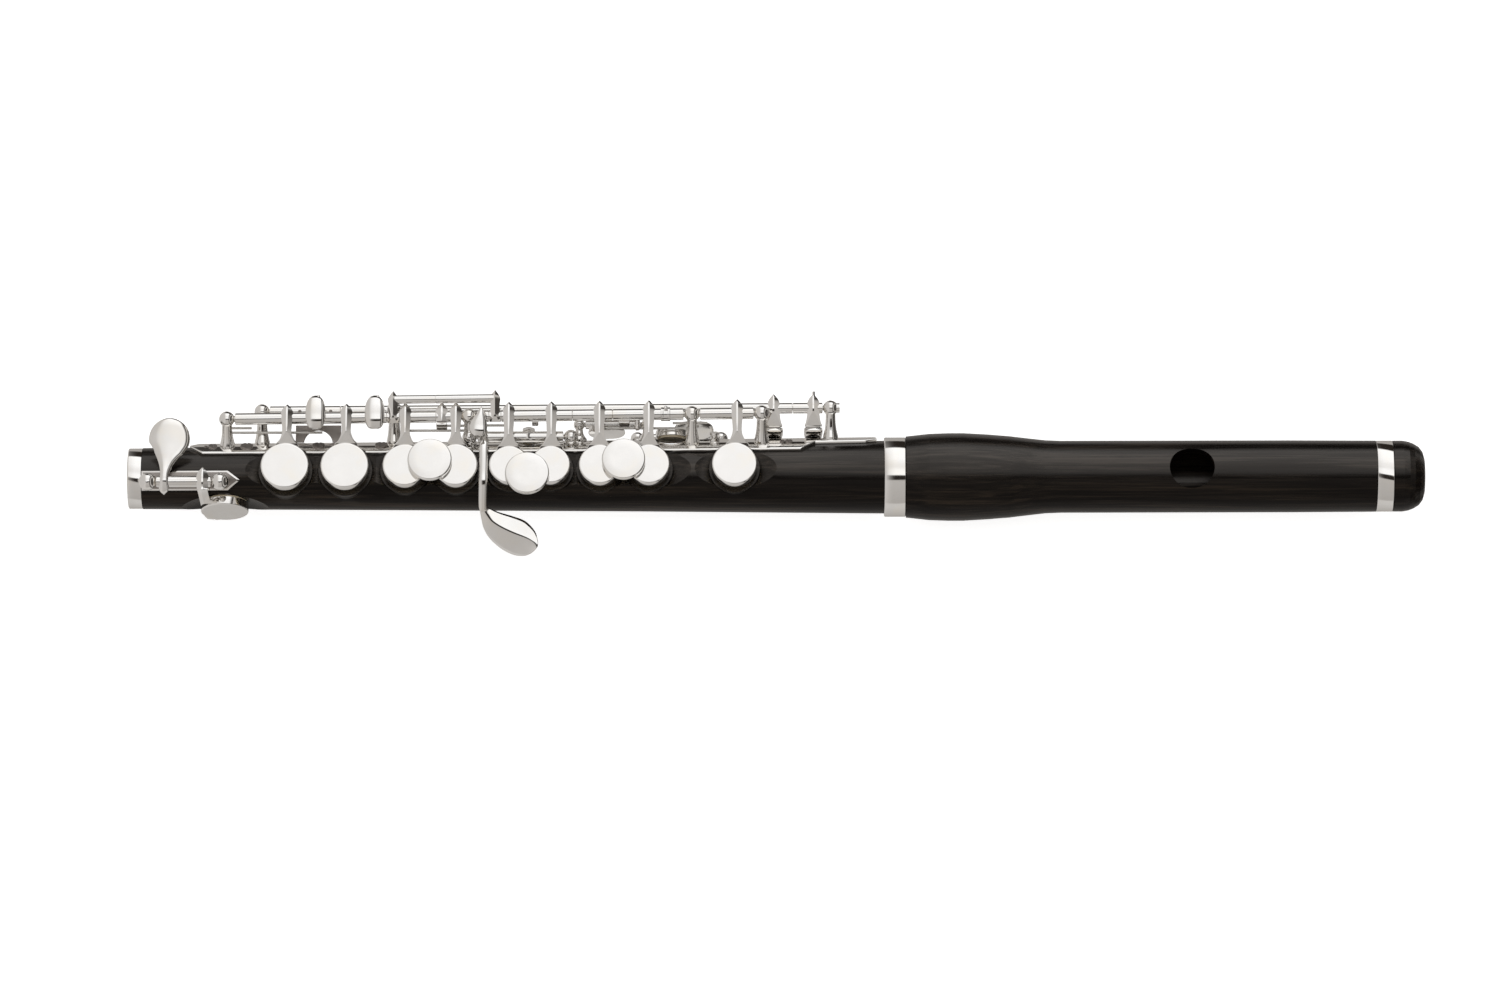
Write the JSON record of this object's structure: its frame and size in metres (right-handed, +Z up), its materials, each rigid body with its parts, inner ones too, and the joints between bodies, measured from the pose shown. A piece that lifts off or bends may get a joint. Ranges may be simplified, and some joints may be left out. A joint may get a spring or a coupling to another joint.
{
  "type": "piccolo",
  "caption": "Wooden piccolo with conical bore, silver-plated side-hinged keys, a detachable head with an oval blow hole, and a screw crown.",
  "frame": {"origin": "on the bore axis at the foot end face", "axes": "+X along the bore towards the head crown, +Z up through the row of tone holes, +Y towards the key rods"},
  "size_m": [0.3237, 0.0402, 0.0258],
  "materials": {
    "grenadilla": "oiled dark hardwood, satin, faint grain",
    "silver": "polished silver plate",
    "hinge_steel": "ground steel",
    "screw_steel": "slotted screw heads, darkened",
    "pad_skin": "thin pale skin over felt",
    "cork": "fine-grained cork, lightly greased"
  },
  "bodies": {
    "body": {"body_wood": "grenadilla", "foot_ring": "silver", "tenon_cork": "cork", "rib_strap": "silver", "strap_screws": "screw_steel", "main_posts": "silver", "trill_posts": "silver", "d_sharp_posts": "silver", "g_sharp_post": "silver", "thumb_posts": "silver", "right_hand_steel": "hinge_steel", "c_key_steel": "hinge_steel", "d_sharp_steel": "hinge_steel", "g_sharp_steel": "hinge_steel", "thumb_steel": "hinge_steel", "thumb_b_flat_steel": "hinge_steel", "needle_springs": "hinge_steel", "trill_stop_plate": "silver", "stop_pillar": "silver"},
    "d": {"d_key": "silver", "d_pad": "pad_skin"},
    "e": {"e_key": "silver", "e_pad": "pad_skin"},
    "f": {"f_key": "silver", "f_touch": "silver", "f_pad": "pad_skin"},
    "f_sharp": {"f_sharp_key": "silver", "f_sharp_pad": "pad_skin"},
    "g": {"g_key": "silver", "g_touch": "silver", "g_pads": "pad_skin"},
    "a": {"a_key": "silver", "a_touch": "silver", "a_pad": "pad_skin"},
    "b_flat": {"b_flat_key": "silver", "b_flat_pad": "pad_skin", "left_hand_steel": "hinge_steel", "b_flat_bridge": "silver", "b_flat_lever": "silver"},
    "c": {"c_key": "silver", "c_pad": "pad_skin"},
    "d_sharp": {"d_sharp_key": "silver", "d_sharp_pad": "pad_skin"},
    "g_sharp": {"g_sharp_key": "silver", "g_sharp_pad": "pad_skin"},
    "thumb": {"thumb_key": "silver", "thumb_pad": "pad_skin"},
    "thumb_b_flat": {"thumb_b_flat_lever": "silver"},
    "trill_d": {"trill_d_key": "silver", "trill_d_pad": "pad_skin"},
    "trill_d_sharp": {"trill_d_sharp_key": "silver", "trill_d_sharp_pad": "pad_skin", "trill_steel": "hinge_steel"},
    "socket": {"socket_ring": "silver", "socket_liner": "silver"},
    "head": {"head_wood": "grenadilla", "crown_ring": "silver"},
    "crown": {"crown": "grenadilla"},
    "stopper": {"stopper_screw": "silver", "stopper_cork": "cork"}
  },
  "joints": [
    {"name": "d_press", "type": "hinge", "parent": "body", "child": "d", "pos_m": [0.0395, 0.01281, 0.00941], "axis": [0.9999, 0.0075, 0.0075], "range_deg": [0, 6.5], "stiffness_Nm_per_rad": 0.004},
    {"name": "e_press", "type": "hinge", "parent": "body", "child": "e", "pos_m": [0.0544, 0.01292, 0.00952], "axis": [0.9999, 0.0075, 0.0075], "range_deg": [0, 6.5], "stiffness_Nm_per_rad": 0.004},
    {"name": "f_press", "type": "hinge", "parent": "body", "child": "f", "pos_m": [0.06935, 0.01303, 0.00963], "axis": [0.9999, 0.0075, 0.0075], "range_deg": [0, 6.5], "stiffness_Nm_per_rad": 0.004},
    {"name": "f_sharp_close", "type": "hinge", "parent": "body", "child": "f_sharp", "pos_m": [0.082, 0.01313, 0.00973], "axis": [0.9999, 0.0075, 0.0075], "range_deg": [0, 6.5], "stiffness_Nm_per_rad": 0.004},
    {"name": "g_press", "type": "hinge", "parent": "body", "child": "g", "pos_m": [0.1, 0.01326, 0.00986], "axis": [0.9999, 0.0075, 0.0075], "range_deg": [0, 6.5], "stiffness_Nm_per_rad": 0.004},
    {"name": "a_press", "type": "hinge", "parent": "body", "child": "a", "pos_m": [0.1179, 0.0134, 0.01], "axis": [0.9999, 0.0075, 0.0075], "range_deg": [0, 6.5], "stiffness_Nm_per_rad": 0.004},
    {"name": "b_flat_close", "type": "hinge", "parent": "body", "child": "b_flat", "pos_m": [0.1301, 0.01349, 0.01009], "axis": [0.9999, 0.0075, 0.0075], "range_deg": [0, 6.5], "stiffness_Nm_per_rad": 0.004},
    {"name": "c_press", "type": "hinge", "parent": "body", "child": "c", "pos_m": [0.1514, 0.01365, 0.01025], "axis": [0.9999, 0.0075, 0.0075], "range_deg": [0, 6.5], "stiffness_Nm_per_rad": 0.004},
    {"name": "d_sharp_press", "type": "hinge", "parent": "body", "child": "d_sharp", "pos_m": [0.0144, -0.00386, 0.0106], "axis": [-1, 0, 0], "range_deg": [0, 8], "stiffness_Nm_per_rad": 0.004},
    {"name": "g_sharp_press", "type": "hinge", "parent": "body", "child": "g_sharp", "pos_m": [0.098, 0.0085, 0.0073], "axis": [1, 0, 0], "range_deg": [0, 7], "stiffness_Nm_per_rad": 0.004},
    {"name": "thumb_press", "type": "hinge", "parent": "body", "child": "thumb", "pos_m": [0.1375, 0.012, -0.0064], "axis": [1, 0, 0], "range_deg": [0, 9], "stiffness_Nm_per_rad": 0.004},
    {"name": "thumb_b_flat_press", "type": "hinge", "parent": "body", "child": "thumb_b_flat", "pos_m": [0.121, 0.0126, 0.004], "axis": [-1, 0, 0], "range_deg": [0, 8], "stiffness_Nm_per_rad": 0.004},
    {"name": "trill_d_press", "type": "hinge", "parent": "body", "child": "trill_d", "pos_m": [0.11, 0.01587, 0.00632], "axis": [1, 0.0035, 0.0042], "range_deg": [0, 8], "stiffness_Nm_per_rad": 0.004},
    {"name": "trill_d_sharp_press", "type": "hinge", "parent": "body", "child": "trill_d_sharp", "pos_m": [0.1, 0.01583, 0.00628], "axis": [1, 0.0035, 0.0042], "range_deg": [0, 8], "stiffness_Nm_per_rad": 0.004},
    {"name": "head_pull", "type": "slide", "parent": "body", "child": "socket", "axis": [1, 0, 0], "range_m": [0, 0.03]},
    {"name": "head_turn", "type": "hinge", "parent": "socket", "child": "head", "pos_m": [0.1942, 0, 0], "axis": [1, 0, 0], "continuous": true},
    {"name": "crown_turn", "type": "hinge", "parent": "head", "child": "crown", "pos_m": [0.3159, 0, 0], "axis": [1, 0, 0], "range_deg": [-361, 361]},
    {"name": "stopper_slide", "type": "slide", "parent": "head", "child": "stopper", "axis": [1, 0, 0], "range_m": [-0.0008, 0.0008]}
  ],
  "couplings": [
    {"joint": "f_sharp_close", "follows": "f_press", "ratio": 1},
    {"joint": "b_flat_close", "follows": "a_press", "ratio": 1},
    {"joint": "crown_turn", "follows": "stopper_slide", "rad_per_m": 7854}
  ]
}
